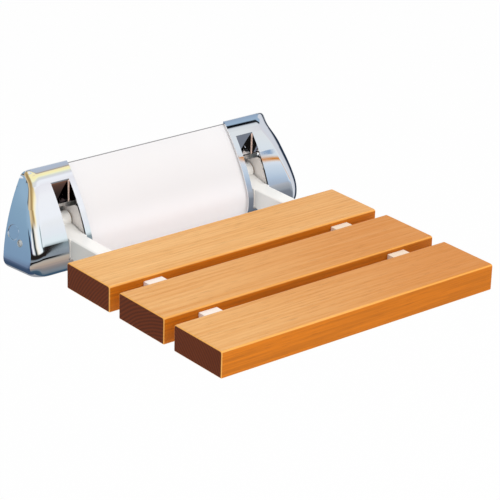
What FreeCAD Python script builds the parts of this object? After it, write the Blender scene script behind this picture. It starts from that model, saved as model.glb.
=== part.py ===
import FreeCAD, Part
import math
import os
from types import SimpleNamespace

import Sketcher

# Fold down wall seat: three wooden slats on two white arms that swing up in front of a
# wall housing made of a white cover between two chromed end caps.
# Frame: the wall is the plane y = 0, the seat points along -Y, +Z is up, and the
# origin lies on the wall, midway between the arms, at the height of the hinge axis.

# Driving dimensions, in millimetres and degrees.
DIMENSIONS = {
    # seat
    "slat_length": 320.0,
    "slat_width": 67.0,
    "slat_thickness": 26.0,
    "slat_gap": 14.6,
    "slat_top_drop": 1.2,
    "seat_start": 95.0,
    "slat_top_round": 3.5,
    "slat_edge_round": 2.0,
    # hinge
    "arm_spacing": 223.6,
    "pivot_depth": 10.5,
    "boss_radius": 8.2,
    "pin_radius": 4.0,
    "pin_head_clearance": 0.3,
    "pin_head_height": 2.5,
    "pin_tail": 3.0,
    "clip_thickness": 1.0,
    "clip_groove": 0.8,
    "running_clearance": 0.05,
    "seat_clearance": 0.02,
    "bush_wall": 1.43,
    "bush_flange": 0.9,
    "bush_flange_radius": 7.4,
    "washer_thickness": 0.4,
    # arms
    "heel_width": 19.6,
    "beam_width": 17.6,
    "tooth_clearance": 0.3,
    "beam_top_drop": 5.7,
    "neck_drop": 2.2,
    "neck_reach": 21.0,
    "crease_reach": 35.0,
    "heel_reach": 44.0,
    "heel_drop": 24.9,
    "heel_back": 7.2,
    "heel_round": 3.0,
    "rail_depth": 9.0,
    "rail_overhang": 10.0,
    "tip_length": 12.0,
    "tip_rise": 5.0,
    "beam_top_round": 2.2,
    "heel_top_round": 0.8,
    # slat screws
    "screw_spread": 26.0,
    "slat_screw_radius": 2.2,
    "slat_screw_head_radius": 4.0,
    "slat_screw_head_height": 2.4,
    "slat_screw_grip": 4.6,
    "slat_screw_bite": 15.0,
    "screw_clearance": 0.15,
    "head_clearance": 0.5,
    # housing
    "housing_half_width": 168.3,
    "housing_depth": 44.5,
    "housing_top": 54.8,
    "housing_bottom": 41.2,
    "nose_drop": 19.3,
    "nose_radius": 33.7,
    "front_radius": 186.0,
    "front_lean": 22.0,
    "side_radius": 214.0,
    "top_corner_radius": 9.0,
    "bottom_corner_radius": 13.0,
    "wall_gap": 0.3,
    # end caps
    "cap_wall": 2.2,
    "seam_half": 95.2,
    "cap_edge_round": 6.0,
    "cap_top_round": 1.5,
    "slot_width": 20.8,
    "slot_bottom_drop": 27.2,
    "pocket_depth": 13.3,
    "pocket_wall": 1.6,
    "pocket_ledge_height": 17.5,
    "pocket_ledge_slope": 0.45,
    "slot_corner_radius": 2.0,
    # centre cover
    "cover_inset": 2.5,
    "cover_wall": 2.2,
    "cover_lap": 2.1,
    # wall plate
    "plate_thickness": 2.0,
    "plate_half_width": 134.0,
    "plate_top": 43.0,
    "plate_bottom": 36.0,
    "tab_inset": 14.0,
    "wall_hole_spacing_x": 150.0,
    "wall_hole_spacing_z": 56.0,
    "wall_hole_radius": 3.25,
    "tab_reach": 30.0,
    "tab_top": 9.0,
    "tab_bottom": 25.0,
    "lip_reach": 5.0,
    "lip_half_length": 84.0,
    "bend_round": 1.2,
    "boss_window": 22.0,
    # hinge brackets
    "bracket_wall": 3.0,
    "bracket_foot": 11.0,
    "bracket_bottom": 31.0,
    "bracket_clearance": 0.8,
    "cheek_back_height": 8.0,
    "cheek_tip_height": 19.0,
    "rivet_radius": 2.4,
    "rivet_head_radius": 4.2,
    "rivet_head_height": 1.6,
    "rivet_rows": 38.0,
    "rivet_row_lift": -6.0,
    "pad_height": 10.0,
    "pad_width": 15.0,
    "pad_clearance": 0.1,
    # cap fixing screw and pivot plug
    "cap_screw_depth": 21.8,
    "cap_screw_drop": 7.5,
    "cap_screw_radius": 1.7,
    "cap_screw_head_radius": 3.5,
    "cap_screw_head_height": 2.0,
    "cap_screw_length": 16.0,
    "cap_boss_wall": 2.4,
    "plug_radius": 7.5,
    "plug_thickness": 3.6,
    "plug_stem_radius": 4.8,
    "plug_stem_length": 4.0,
    "plug_clearance": 0.15,
    "plug_boss_wall": 2.0,
}

doc = FreeCAD.newDocument("fold_down_wall_seat")


class Size:
    # A size with two faces: its value, and the expression that takes it from the sheet.
    def __init__(self, value, text):
        self.value = value
        self.text = text

    def __add__(self, other):
        return combine(self, "+", other)

    def __radd__(self, other):
        return combine(other, "+", self)

    def __sub__(self, other):
        return combine(self, "-", other)

    def __rsub__(self, other):
        return combine(other, "-", self)

    def __mul__(self, other):
        return combine(self, "*", other)

    def __rmul__(self, other):
        return combine(other, "*", self)

    def __truediv__(self, other):
        return combine(self, "/", other)

    def __neg__(self):
        return combine(0, "-", self)


def size_of(number):
    return number if isinstance(number, Size) else Size(float(number), repr(float(number)))


def combine(left, sign, right):
    left = size_of(left)
    right = size_of(right)
    results = {
        "+": lambda: left.value + right.value,
        "-": lambda: left.value - right.value,
        "*": lambda: left.value * right.value,
        "/": lambda: left.value / right.value,
    }
    return Size(results[sign](), "(%s %s %s)" % (left.text, sign, right.text))


def root(size):
    return Size(math.sqrt(size.value), "sqrt(%s)" % size.text)


def least(left, right):
    return Size(min(left.value, right.value), "min(%s; %s)" % (left.text, right.text))


def cosine(size):
    return Size(math.cos(math.radians(size.value)), "cos(%s)" % size.text)


def sine(size):
    return Size(math.sin(math.radians(size.value)), "sin(%s)" % size.text)


def make_sheet():
    # The spreadsheet that every piece below takes its sizes from.
    sheet = doc.addObject("Spreadsheet::Sheet", "Sizes")
    names = SimpleNamespace()
    for row, (alias, value) in enumerate(DIMENSIONS.items(), start=1):
        sheet.set("A%d" % row, alias)
        sheet.set("B%d" % row, str(value))
        sheet.setAlias("B%d" % row, alias)
        setattr(names, alias, Size(value, "Sizes." + alias))
    doc.recompute()
    return names


d = make_sheet()


# Sketches and solids

def bind(target, path, size):
    target.setExpression(path, size_of(size).text)


def place(target, x, y, z, turn=None):
    # Puts an object at a point, turned about that point.
    spot = FreeCAD.Vector(*(size_of(part).value for part in (x, y, z)))
    target.Placement = FreeCAD.Placement(spot, turn or FreeCAD.Rotation())
    for letter, part in zip("xyz", (x, y, z)):
        bind(target, "Placement.Base." + letter, part)


def new_body(label):
    body = doc.addObject("PartDesign::Body", label)
    body.Label = label
    return body


def new_sketch(body, name, role, offset=None):
    # A sketch on one of the body's own origin planes, moved along the plane's normal.
    sketch = body.newObject("Sketcher::SketchObject", name)
    plane = next(item for item in body.Origin.OriginFeatures if item.Role == role)
    sketch.AttachmentSupport = [(plane, "")]
    sketch.MapMode = "FlatFace"
    if offset is not None:
        bind(sketch, "AttachmentOffset.Base.z", offset)
    return sketch


def free_sketch(name, role, offset=0):
    # A sketch on a plane through the origin, for solids that aren't bodies.
    turns = {
        "YZ_Plane": FreeCAD.Rotation(FreeCAD.Vector(1, 1, 1), 120),
        "XZ_Plane": FreeCAD.Rotation(FreeCAD.Vector(1, 0, 0), 90),
    }
    sketch = doc.addObject("Sketcher::SketchObject", name)
    where = (offset, 0, 0) if role == "YZ_Plane" else (0, -size_of(offset), 0)
    place(sketch, *where, turn=turns[role])
    return sketch


def hold(sketch, geometry, point, x, y):
    # Ties one point of a sketch's geometry to its place.
    for kind, part in (("DistanceX", size_of(x)), ("DistanceY", size_of(y))):
        index = sketch.addConstraint(Sketcher.Constraint(kind, -1, 1, geometry, point, part.value))
        bind(sketch, "Constraints[%d]" % index, part)


def draw_circle(sketch, x, y, radius):
    centre = FreeCAD.Vector(size_of(x).value, size_of(y).value, 0)
    geometry = sketch.addGeometry(Part.Circle(centre, FreeCAD.Vector(0, 0, 1), size_of(radius).value))
    hold(sketch, geometry, 3, x, y)
    index = sketch.addConstraint(Sketcher.Constraint("Radius", geometry, size_of(radius).value))
    bind(sketch, "Constraints[%d]" % index, radius)


def arc_between(start, end, radius):
    # The short arc from start to end; a positive radius turns left on the way.
    chord = end - start
    height = math.sqrt(radius ** 2 - (chord.Length / 2) ** 2)
    left = FreeCAD.Vector(-chord.y, chord.x, 0).normalize()
    centre = (start + end) * 0.5 + left * math.copysign(height, radius)
    first, last = (start, end) if radius > 0 else (end, start)
    angles = [math.atan2(point.y - centre.y, point.x - centre.x) for point in (first, last)]
    if angles[1] < angles[0]:
        angles[1] += 2 * math.pi
    circle = Part.Circle(centre, FreeCAD.Vector(0, 0, 1), abs(radius))
    return Part.ArcOfCircle(circle, angles[0], angles[1])


def draw_outline(sketch, corners):
    # A closed outline. A corner is (x, y), or (x, y, radius) where an arc leads to the next.
    spots = [FreeCAD.Vector(size_of(c[0]).value, size_of(c[1]).value, 0) for c in corners]
    ends = []
    for index, corner in enumerate(corners):
        start = spots[index]
        end = spots[(index + 1) % len(spots)]
        if len(corner) == 2:
            geometry = sketch.addGeometry(Part.LineSegment(start, end))
            ends.append((geometry, 1, 2))
            continue
        radius = corner[2]
        geometry = sketch.addGeometry(arc_between(start, end, radius.value))
        ends.append((geometry, 1, 2) if radius.value > 0 else (geometry, 2, 1))
        amount = radius if radius.value > 0 else -radius
        bound = sketch.addConstraint(Sketcher.Constraint("Radius", geometry, amount.value))
        bind(sketch, "Constraints[%d]" % bound, amount)
    for index, corner in enumerate(corners):
        geometry, first, last = ends[index]
        following, onward, _ = ends[(index + 1) % len(ends)]
        sketch.addConstraint(Sketcher.Constraint("Coincident", geometry, last, following, onward))
        hold(sketch, geometry, first, corner[0], corner[1])


def rectangle(left, right, bottom, top):
    return [(left, bottom), (right, bottom), (right, top), (left, top)]


def pad(body, sketch, length, symmetric=False, reverse=False):
    feature = body.newObject("PartDesign::Pad", "Pad")
    feature.Profile = sketch
    bind(feature, "Length", length)
    if symmetric:
        feature.SideType = "Symmetric"
    feature.Reversed = reverse
    doc.recompute()
    return feature


def pocket(body, sketch, length=None, reverse=False):
    # Cuts a sketch through everything, both ways, or to a depth.
    before = body.Shape.Volume
    feature = body.newObject("PartDesign::Pocket", "Pocket")
    feature.Profile = sketch
    if length is None:
        feature.Type = "ThroughAll"
        feature.SideType = "Symmetric"
    else:
        bind(feature, "Length", length)
        feature.Reversed = reverse
    doc.recompute()
    if not feature.Shape.Volume < before:
        raise ValueError("pocket of %s cuts nothing" % body.Label)
    return feature


def edges_where(shape, test):
    # Numbers of the edges whose middle point passes the test.
    found = []
    for number, edge in enumerate(shape.Edges, start=1):
        middle = edge.valueAt((edge.FirstParameter + edge.LastParameter) / 2)
        if test(middle, edge):
            found.append(number)
    return found


def near(value, size, margin=0.05):
    return abs(value - size_of(size).value) < margin


def round_edges(body, radius, test):
    # Fillets the edges of the body's last feature that pass the test.
    tip = body.Tip
    numbers = edges_where(tip.Shape, test)
    feature = body.newObject("PartDesign::Fillet", "Fillet")
    feature.Base = (tip, ["Edge%d" % number for number in numbers])
    bind(feature, "Radius", radius)
    doc.recompute()
    return feature


def extrude(name, sketch, length, direction):
    feature = doc.addObject("Part::Extrusion", name)
    feature.Base = sketch
    feature.DirMode = "Custom"
    feature.Dir = FreeCAD.Vector(*direction)
    feature.Solid = True
    bind(feature, "LengthFwd", length)
    return feature


def box(name, x, y, z, length, width, height):
    feature = doc.addObject("Part::Box", name)
    for path, part in (("Length", length), ("Width", width), ("Height", height)):
        bind(feature, path, part)
    place(feature, x, y, z)
    return feature


ALONG = {
    "x": FreeCAD.Rotation(FreeCAD.Vector(0, 1, 0), 90),
    "out": FreeCAD.Rotation(FreeCAD.Vector(1, 0, 0), 90),
    "up": FreeCAD.Rotation(),
}


def rod(name, way, x, y, z, length, radius, end_radius=None):
    # A cylinder, or a cone where the end has its own radius, from a point along a way.
    if end_radius is None:
        feature = doc.addObject("Part::Cylinder", name)
        bind(feature, "Radius", radius)
    else:
        feature = doc.addObject("Part::Cone", name)
        bind(feature, "Radius1", radius)
        bind(feature, "Radius2", end_radius)
    bind(feature, "Height", length)
    place(feature, x, y, z, ALONG[way])
    return feature


def turned(name, way, x, y, z, steps):
    # A turned piece: steps of (length, radius) or (length, radius, end radius) in a row.
    pieces = []
    reached = size_of(0)
    for index, step in enumerate(steps):
        spot = {
            "x": (x + reached, y, z),
            "out": (x, y - reached, z),
            "up": (x, y, z + reached),
        }[way]
        pieces.append(rod("%s_step%d" % (name, index + 1), way, *spot, *step))
        reached = reached + step[0]
    return fuse(name, pieces)


def fuse(name, pieces):
    feature = doc.addObject("Part::MultiFuse", name)
    feature.Shapes = pieces
    feature.Refine = True
    return feature


def common(name, pieces):
    feature = doc.addObject("Part::MultiCommon", name)
    feature.Shapes = pieces
    return feature


def cut(name, base, tool):
    feature = doc.addObject("Part::Cut", name)
    feature.Base = base
    feature.Tool = tool
    return feature


def group(label, pieces):
    # Separate solids that make one named sub-part.
    feature = doc.addObject("Part::Compound", label)
    feature.Label = label
    feature.Links = pieces
    return feature


def mirrored(source, label):
    # The left hand copy of a right hand piece.
    feature = doc.addObject("Part::Mirroring", label)
    feature.Label = label
    feature.Source = source
    feature.Normal = FreeCAD.Vector(1, 0, 0)
    return feature


# Places that several pieces share

ARM_X = d.arm_spacing / 2
PIVOT_Y = -d.pivot_depth
SLOT_INNER = ARM_X - d.slot_width / 2
STACK = d.bush_flange + d.washer_thickness + 2 * d.running_clearance
CHEEK_INNER = ARM_X - d.heel_width / 2 - STACK
CHEEK_OUTER = ARM_X + d.heel_width / 2 + STACK
BASE_FRONT = d.plate_thickness + d.bracket_wall
PIN_HEAD_RADIUS = d.pivot_depth - BASE_FRONT - d.pin_head_clearance
TAB_FACE = d.housing_half_width - d.tab_inset
SLAT_TOP = -d.slat_top_drop
SLAT_BOTTOM = SLAT_TOP - d.slat_thickness
RAIL_BOTTOM = SLAT_BOTTOM - d.rail_depth
SLAT_PITCH = d.slat_width + d.slat_gap
SEAT_END = d.seat_start + 3 * d.slat_width + 2 * d.slat_gap
BUSH_RADIUS = d.pin_radius + d.running_clearance + d.bush_wall

# How far a cutting shape runs past what it cuts.
OVERRUN = 1.0

# Centres of the two arcs of the housing's front, seen from the side.
NOSE_Y = d.nose_radius - d.housing_depth
NOSE_Z = -d.nose_drop
FRONT_Y = NOSE_Y + (d.front_radius - d.nose_radius) * cosine(d.front_lean)
FRONT_Z = NOSE_Z - (d.front_radius - d.nose_radius) * sine(d.front_lean)
# Centre of the arc of the housing's side, seen from the front.
SIDE_X = d.housing_half_width - d.side_radius
SIDE_Z = -d.housing_bottom


def nose_at(height, inset):
    # The housing's lower front surface at a height, inset by a wall.
    rise = height - NOSE_Z
    radius = d.nose_radius - inset
    return NOSE_Y - root(radius * radius - rise * rise)


def front_at(height, inset):
    # The housing's upper front surface at a height, inset by a wall.
    rise = height - FRONT_Z
    radius = d.front_radius - inset
    return FRONT_Y - root(radius * radius - rise * rise)


def front_corners(inset, low, high):
    # Corners of the front surface from a low height up to a high one.
    radius = d.nose_radius - inset
    joint = (NOSE_Y - radius * cosine(d.front_lean), NOSE_Z + radius * sine(d.front_lean))
    return [
        (nose_at(low, inset), low, -radius),
        (*joint, -(d.front_radius - inset)),
        (front_at(high, inset), high),
    ]


def front_corners_down(inset, low, back, rim):
    # Corners of an inner front surface down to a low height, below a solid rim that
    # hangs from the top, or from where the surface meets the back plane if that is lower.
    nose = d.nose_radius - inset
    front = d.front_radius - inset
    run = FRONT_Y - back
    high = least(d.housing_top, FRONT_Z + root(front * front - run * run)) - rim
    return [
        (back, high),
        (front_at(high, inset), high, front),
        (NOSE_Y - nose * cosine(d.front_lean), NOSE_Z + nose * sine(d.front_lean), nose),
        (nose_at(low, inset), low),
    ]


def side_at(height, inset=0):
    # Half width of the housing at a height.
    rise = height - SIDE_Z
    radius = d.side_radius - inset
    return SIDE_X + root(radius * radius - rise * rise)


# Wall plate

def make_wall_plate():
    # Pressed steel plate with four wall holes, lips that hold the cover and end tabs
    # that hold the caps.
    body = new_body("wall_plate")
    sheet = new_sketch(body, "PlateOutline", "XZ_Plane")
    half = d.plate_half_width
    draw_outline(sheet, rectangle(-half, half, -d.plate_bottom, d.plate_top))
    for side in (-1, 1):
        for level in (-1, 1):
            x = side * d.wall_hole_spacing_x / 2
            draw_circle(sheet, x, level * d.wall_hole_spacing_z / 2, d.wall_hole_radius)
    pad(body, sheet, d.plate_thickness)

    wings = new_sketch(body, "Wings", "XZ_Plane")
    draw_outline(wings, rectangle(-TAB_FACE, TAB_FACE, -d.tab_bottom, d.tab_top))
    pad(body, wings, d.plate_thickness)
    tabs = new_sketch(body, "EndTabs", "XZ_Plane")
    inner = TAB_FACE - d.plate_thickness
    draw_outline(tabs, rectangle(inner, TAB_FACE, -d.tab_bottom, d.tab_top))
    draw_outline(tabs, rectangle(-TAB_FACE, -inner, -d.tab_bottom, d.tab_top))
    pad(body, tabs, d.tab_reach)

    lips = new_sketch(body, "CoverLips", "XZ_Plane")
    length = d.lip_half_length
    draw_outline(lips, rectangle(-length, length, d.plate_top - d.plate_thickness, d.plate_top))
    draw_outline(lips, rectangle(-length, length, -d.plate_bottom, d.plate_thickness - d.plate_bottom))
    pad(body, lips, d.lip_reach)

    holes = new_sketch(body, "TabHoles", "YZ_Plane")
    draw_circle(holes, -d.cap_screw_depth, -d.cap_screw_drop, d.cap_screw_radius + d.seat_clearance)
    pocket(body, holes)

    rivets = new_sketch(body, "RivetHoles", "XZ_Plane")
    for side in (-1, 1):
        for x, z in rivet_spots():
            draw_circle(rivets, side * x, z, d.rivet_radius + d.seat_clearance)
    pocket(body, rivets)

    round_edges(body, d.bend_round, lambda point, edge: (
        near(abs(point.x), inner) and near(point.y, -d.plate_thickness) and edge.Length > d.tab_top.value))
    return body


def rivet_spots():
    # The four rivets of the right hand bracket, as (x, z).
    reach = d.bracket_wall + d.bracket_foot / 2
    columns = (CHEEK_INNER - reach, CHEEK_OUTER + reach)
    rows = (d.rivet_row_lift - d.rivet_rows / 2, d.rivet_row_lift + d.rivet_rows / 2)
    return [(x, z) for x in columns for z in rows]


# Hinge brackets

def make_hinge_bracket():
    # Cast bracket: a foot against the plate with a window for the arm's boss, and two
    # cheeks that carry the pivot pin and follow the inside of the housing.
    body = new_body("right_hinge_bracket")
    foot = new_sketch(body, "Foot", "XZ_Plane", d.plate_thickness)
    left = CHEEK_INNER - d.bracket_wall - d.bracket_foot
    right = CHEEK_OUTER + d.bracket_wall + d.bracket_foot
    top = d.rivet_row_lift + d.rivet_rows / 2 + d.bracket_foot / 2
    draw_outline(foot, rectangle(left, right, -d.bracket_bottom, top))
    reach = d.boss_window / 2
    draw_outline(foot, rectangle(CHEEK_INNER, CHEEK_OUTER, -reach, reach))
    pad(body, foot, d.bracket_wall)

    inset = d.cap_wall + d.bracket_clearance
    for name, start in (("InnerCheek", CHEEK_INNER - d.bracket_wall), ("OuterCheek", CHEEK_OUTER)):
        cheek = new_sketch(body, name, "YZ_Plane", start)
        front = front_corners(inset, -d.bracket_bottom, d.cheek_tip_height)
        back = [(-d.plate_thickness, d.cheek_back_height), (-d.plate_thickness, -d.bracket_bottom)]
        draw_outline(cheek, front + back)
        pad(body, cheek, d.bracket_wall)

    bore = new_sketch(body, "PinHole", "YZ_Plane")
    draw_circle(bore, PIVOT_Y, 0, d.pin_radius + d.seat_clearance)
    pocket(body, bore)

    holes = new_sketch(body, "RivetHoles", "XZ_Plane")
    for x, z in rivet_spots():
        draw_circle(holes, x, z, d.rivet_radius + d.seat_clearance)
    pocket(body, holes)
    return body


def make_bracket_rivets():
    # Rivets with a flush tail behind the plate and a domed head on the bracket's foot.
    rivets = []
    for index, (x, z) in enumerate(rivet_spots()):
        steps = [
            (BASE_FRONT - d.wall_gap, d.rivet_radius),
            (d.rivet_head_height / 2, d.rivet_head_radius),
            (d.rivet_head_height / 2, d.rivet_head_radius, d.rivet_radius),
        ]
        rivets.append(turned("rivet%d" % (index + 1), "out", x, -d.wall_gap, z, steps))
    return group("right_bracket_rivets", rivets)


# Pivot

def make_pivot_pin():
    # Headed pin through both cheeks, with a groove for its clip outside the outer one.
    start = CHEEK_INNER - d.bracket_wall - d.pin_head_height
    grip = CHEEK_OUTER - CHEEK_INNER + 2 * d.bracket_wall + d.running_clearance
    bevel = d.clip_groove
    steps = [
        (bevel, PIN_HEAD_RADIUS - bevel, PIN_HEAD_RADIUS),
        (d.pin_head_height - bevel, PIN_HEAD_RADIUS),
        (grip, d.pin_radius),
        (d.clip_thickness + 2 * d.running_clearance, d.pin_radius - d.clip_groove),
        (d.pin_tail - bevel, d.pin_radius),
        (bevel, d.pin_radius, d.pin_radius - bevel),
    ]
    pin = turned("right_pivot_pin", "x", start, PIVOT_Y, size_of(0), steps)
    pin.Label = "right_pivot_pin"
    return pin


def make_pin_clip():
    # Snap ring with an open mouth, in the pin's groove.
    start = CHEEK_OUTER + d.bracket_wall + 2 * d.running_clearance
    hole = d.pin_radius - d.clip_groove + d.seat_clearance
    ring = rod("clip_ring", "x", start, PIVOT_Y, 0, d.clip_thickness, PIN_HEAD_RADIUS)
    inside = rod("clip_hole", "x", start, PIVOT_Y, 0, d.clip_thickness, hole)
    width = 2 * hole
    mouth = box("clip_mouth", start, PIVOT_Y - hole, -PIN_HEAD_RADIUS, d.clip_thickness, width, PIN_HEAD_RADIUS)
    clip = cut("right_pin_clip", ring, fuse("clip_opening", [inside, mouth]))
    clip.Label = "right_pin_clip"
    return clip


def make_pivot_washers():
    # Friction washers between the bushes' flanges and the cheeks.
    washers = []
    bore = d.pin_radius + d.running_clearance
    spots = (CHEEK_INNER + d.running_clearance, CHEEK_OUTER - d.running_clearance - d.washer_thickness)
    for index, start in enumerate(spots):
        name = "washer%d" % (index + 1)
        disc = rod(name + "_disc", "x", start, PIVOT_Y, 0, d.washer_thickness, d.bush_flange_radius)
        hole = rod(name + "_hole", "x", start, PIVOT_Y, 0, d.washer_thickness, bore)
        washers.append(cut(name, disc, hole))
    return group("right_pivot_washers", washers)


def make_arm_bushes():
    # Two flanged bushes pressed into the arm's boss from its two sides.
    sleeve = d.heel_width / 2 - d.running_clearance
    radius = d.pin_radius + d.running_clearance
    bushes = []
    inner_steps = [(d.bush_flange, d.bush_flange_radius), (sleeve, BUSH_RADIUS)]
    outer_steps = [(sleeve, BUSH_RADIUS), (d.bush_flange, d.bush_flange_radius)]
    starts = (ARM_X - d.heel_width / 2 - d.bush_flange, ARM_X + d.running_clearance)
    for name, start, steps in zip(("inner_bush", "outer_bush"), starts, (inner_steps, outer_steps)):
        outside = turned(name + "_outside", "x", start, PIVOT_Y, size_of(0), steps)
        bore = rod(name + "_bore", "x", start, PIVOT_Y, 0, sleeve + d.bush_flange, radius)
        bushes.append(cut(name, outside, bore))
    return group("right_arm_bushes", bushes)


def make_stop_pad():
    # Rubber pad on the bracket's foot that the arm's heel rests on.
    body = new_body("right_stop_pad")
    face = new_sketch(body, "Face", "XZ_Plane", BASE_FRONT)
    top = d.heel_round - d.heel_drop + d.pad_height
    outline = rectangle(ARM_X - d.pad_width / 2, ARM_X + d.pad_width / 2, top - d.pad_height, top)
    draw_outline(face, outline)
    pad(body, face, d.heel_back - BASE_FRONT - d.pad_clearance)
    front = d.heel_back - d.pad_clearance
    round_edges(body, d.bend_round / 2, lambda point, edge: near(point.y, -front))
    return body


# Arms

def make_arm():
    # White arm: a boss round the pivot, a wide heel in the housing's slot, a beam out to
    # the seat and a rail under the slats with a tooth in each gap between them.
    body = new_body("right_arm")
    rail_start = d.seat_start - d.tooth_clearance
    rail_end = SEAT_END - d.rail_overhang
    top = -d.beam_top_drop

    beam = new_sketch(body, "Beam", "YZ_Plane", ARM_X)
    draw_outline(beam, [
        (PIVOT_Y, -d.heel_drop + d.boss_radius),
        (-d.heel_reach, -d.heel_drop),
        (-rail_start, RAIL_BOTTOM),
        (-rail_end + d.tip_length, RAIL_BOTTOM),
        (-rail_end, RAIL_BOTTOM + d.tip_rise),
        (-rail_end, SLAT_BOTTOM),
        (-rail_start, SLAT_BOTTOM),
        (-rail_start, top),
        (-d.crease_reach, top),
        (-d.neck_reach, -d.neck_drop),
        (PIVOT_Y, -d.neck_drop),
    ])
    pad(body, beam, d.beam_width, symmetric=True)

    heel = new_sketch(body, "Heel", "YZ_Plane", ARM_X)
    draw_outline(heel, [
        (-d.heel_back - d.heel_round, -d.heel_drop),
        (-d.heel_back, d.heel_round - d.heel_drop),
        (-d.heel_back, -d.neck_drop),
        (-d.neck_reach, -d.neck_drop),
        (-d.crease_reach, top),
        (-d.heel_reach, top),
        (-d.heel_reach, -d.heel_drop),
    ])
    pad(body, heel, d.heel_width, symmetric=True)

    boss = new_sketch(body, "Boss", "YZ_Plane", ARM_X)
    draw_circle(boss, PIVOT_Y, 0, d.boss_radius)
    pad(body, boss, d.heel_width, symmetric=True)

    teeth = new_sketch(body, "Teeth", "YZ_Plane", ARM_X)
    for index in (1, 2):
        front = d.seat_start + index * SLAT_PITCH
        back = front - d.slat_gap
        draw_outline(teeth, rectangle(
            -front + d.tooth_clearance, -back - d.tooth_clearance, SLAT_BOTTOM - d.rail_depth / 2, top))
    pad(body, teeth, d.slot_width - 2 * d.tooth_clearance, symmetric=True)

    bore = new_sketch(body, "BushHole", "YZ_Plane")
    draw_circle(bore, PIVOT_Y, 0, BUSH_RADIUS + d.seat_clearance)
    pocket(body, bore)

    holes = new_sketch(body, "ScrewHoles", "XY_Plane")
    sinks = new_sketch(body, "ScrewSinks", "XY_Plane", RAIL_BOTTOM)
    for index in range(3):
        for y in screw_rows(index):
            draw_circle(holes, ARM_X, y, d.slat_screw_radius + d.screw_clearance)
            draw_circle(sinks, ARM_X, y, d.slat_screw_head_radius + d.head_clearance)
    pocket(body, holes)
    pocket(body, sinks, d.rail_depth - d.slat_screw_grip, reverse=True)

    middle = ARM_X.value
    round_edges(body, d.heel_top_round, lambda point, edge: (
        near(abs(point.x - middle), d.heel_width / 2)
        and -d.heel_reach.value < point.y < (PIVOT_Y - d.boss_radius).value
        and point.z > top.value - 1))
    round_edges(body, d.beam_top_round, lambda point, edge: (
        near(point.z, top) and near(abs(point.x - middle), d.beam_width / 2)))
    return body


def screw_rows(index):
    # Where the two screws of one slat lie along Y.
    middle = d.seat_start + index * SLAT_PITCH + d.slat_width / 2
    return (-(middle - d.screw_spread / 2), -(middle + d.screw_spread / 2))


# Slats and their screws

def make_slat(label, index):
    # Rounded wooden slat with four blind pilot holes in its underside.
    body = new_body(label)
    face = new_sketch(body, "Face", "XY_Plane", SLAT_BOTTOM)
    back = d.seat_start + index * SLAT_PITCH
    half = d.slat_length / 2
    draw_outline(face, rectangle(-half, half, -(back + d.slat_width), -back))
    pad(body, face, d.slat_thickness)
    holes = new_sketch(body, "PilotHoles", "XY_Plane", SLAT_BOTTOM)
    for side in (-1, 1):
        for y in screw_rows(index):
            draw_circle(holes, side * ARM_X, y, d.slat_screw_radius + d.seat_clearance)
    pocket(body, holes, d.slat_screw_bite + d.head_clearance, reverse=True)
    round_edges(body, d.slat_top_round, lambda point, edge: (
        near(point.z, SLAT_TOP) and edge.Length > d.slat_width.value * 1.5))
    round_edges(body, d.slat_edge_round, lambda point, edge: (
        near(abs(point.x), half) or (near(point.z, SLAT_BOTTOM) and edge.Length > d.slat_width.value)))
    return body


def make_slat_screws(label, index):
    # Pan head wood screws that hold one slat from below, two in each arm.
    start = SLAT_BOTTOM - d.slat_screw_grip - d.slat_screw_head_height
    point_length = d.slat_screw_radius * 2
    shank = d.slat_screw_grip + d.slat_screw_bite - point_length
    screws = []
    for side in (-1, 1):
        for row, y in enumerate(screw_rows(index)):
            name = "%s_%s%d" % (label, "left" if side < 0 else "right", row + 1)
            steps = [
                (d.slat_screw_head_height / 2, d.slat_screw_radius, d.slat_screw_head_radius),
                (d.slat_screw_head_height / 2, d.slat_screw_head_radius),
                (shank, d.slat_screw_radius),
                (point_length, d.slat_screw_radius, d.slat_screw_radius / 5),
            ]
            screws.append(turned(name, "up", side * ARM_X, y, start, steps))
    return group(label, screws)


# Housing

def housing_block(name, inset, start, back):
    # The end of the housing as a solid block with all its surfaces inset by a wall.
    profile = free_sketch(name + "_profile", "YZ_Plane", start)
    low = -(d.housing_bottom - inset)
    high = d.housing_top - inset
    draw_outline(profile, front_corners(inset, low, high) + [(back, high), (back, low)])
    depth = extrude(name + "_depth", profile, d.housing_half_width - start, (1, 0, 0))

    outline = free_sketch(name + "_outline", "XZ_Plane", -back)
    top_radius = d.top_corner_radius - inset / 2
    low_radius = d.bottom_corner_radius - inset / 2
    side_radius = d.side_radius - inset
    # Top corner: its centre lies one radius below the top and inside the side's arc.
    top_z = high - top_radius
    rise = top_z - SIDE_Z
    reach = side_radius - top_radius
    top_x = SIDE_X + root(reach * reach - rise * rise)
    touch = side_radius / reach
    # Bottom corner: the same, one radius above the bottom.
    low_z = low + low_radius
    low_rise = low_z - SIDE_Z
    low_reach = side_radius - low_radius
    low_x = SIDE_X + root(low_reach * low_reach - low_rise * low_rise)
    low_touch = side_radius / low_reach
    draw_outline(outline, [
        (start, low),
        (low_x, low, low_radius),
        (SIDE_X + (low_x - SIDE_X) * low_touch, SIDE_Z + low_rise * low_touch, side_radius),
        (SIDE_X + (top_x - SIDE_X) * touch, SIDE_Z + rise * touch, top_radius),
        (top_x, high),
        (start, high),
    ])
    width = extrude(name + "_width", outline, d.housing_depth + d.cap_wall, (0, -1, 0))
    return common(name, [depth, width])


def on_front(point, inset):
    # Whether a point lies on the housing's front surface, inset by a wall.
    height = size_of(point.z)
    joint = NOSE_Z + (d.nose_radius - inset) * sine(d.front_lean)
    surface = nose_at if height.value < joint.value else front_at
    return near(point.y, surface(height, inset))


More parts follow.
